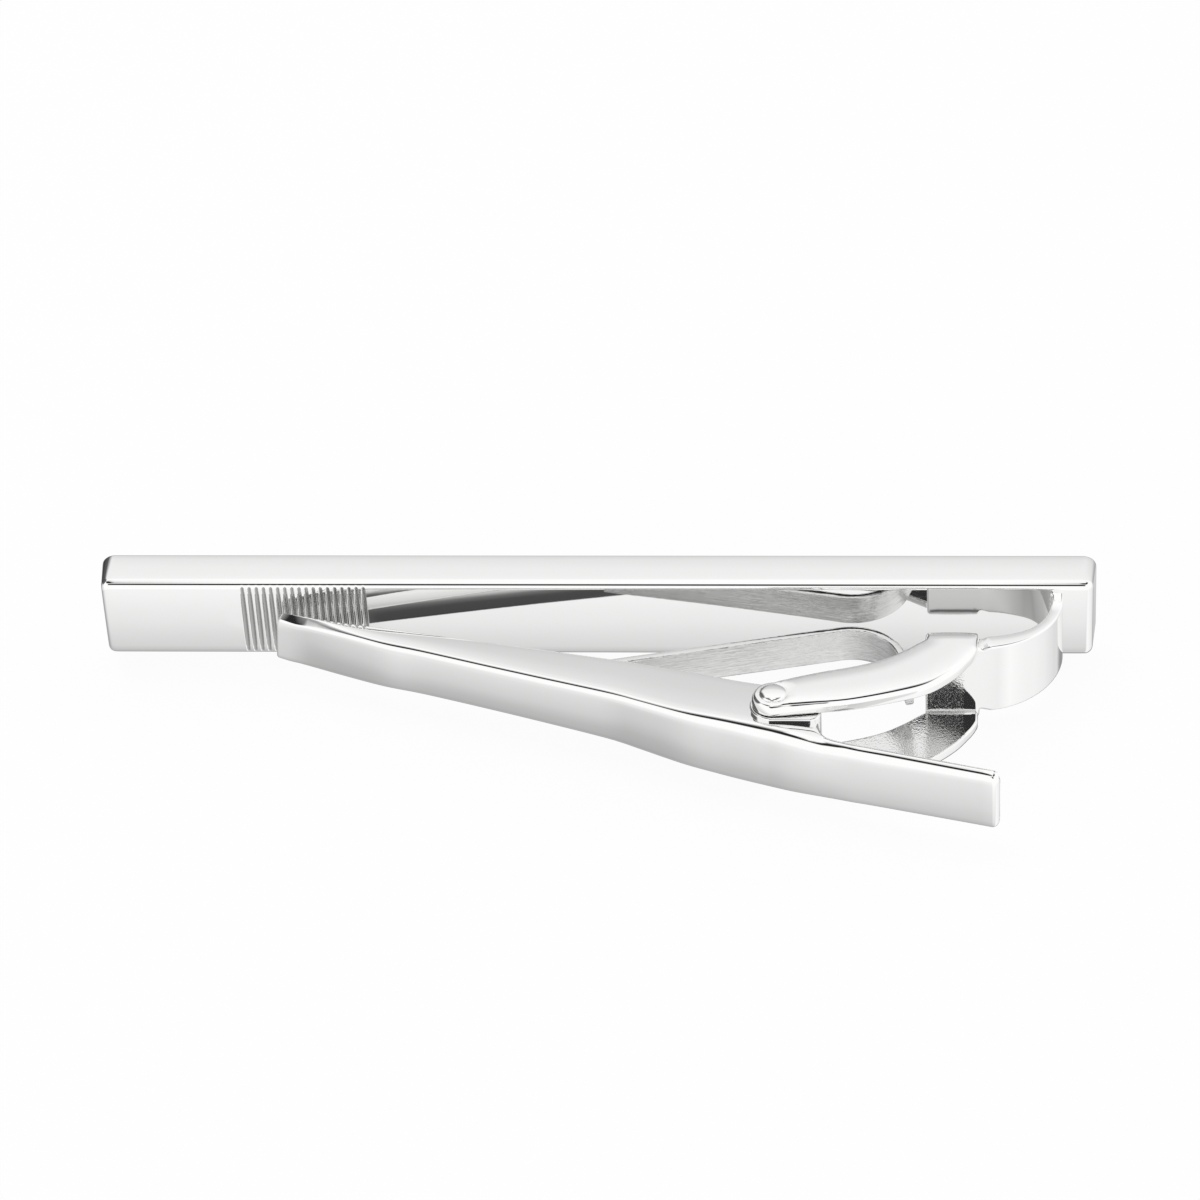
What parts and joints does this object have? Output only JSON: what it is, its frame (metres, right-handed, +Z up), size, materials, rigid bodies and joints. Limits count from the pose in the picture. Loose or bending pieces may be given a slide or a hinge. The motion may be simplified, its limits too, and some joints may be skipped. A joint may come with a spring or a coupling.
{
  "type": "tie clip",
  "caption": "Slim polished bar with a swan-neck yoke on its back that carries a pinned, spring-backed gripping arm with a thumb lever.",
  "frame": {"origin": "centre of the bar's front face", "axes": "+X along the bar towards the hinge end, +Y out of the front face, +Z up as worn"},
  "size_m": [0.0558, 0.0174, 0.0066],
  "materials": {
    "bar_metal": "mirror polished",
    "clasp_metal": "polished",
    "spring_metal": "fine lengthwise grain"
  },
  "bodies": {
    "bar": {"front_bar": "bar_metal", "swan_neck_yoke": "clasp_metal", "hinge_pin": "clasp_metal"},
    "arm": {"clip_arm": "clasp_metal", "leaf_spring": "spring_metal"}
  },
  "joints": [
    {"name": "arm_hinge", "type": "hinge", "parent": "bar", "child": "arm", "pos_m": [0.01029, -0.0119, -0.0004], "axis": [0, 0, 1], "range_deg": [0, 22], "stiffness_Nm_per_rad": 0.05, "springref_deg": -28.65}
  ]
}
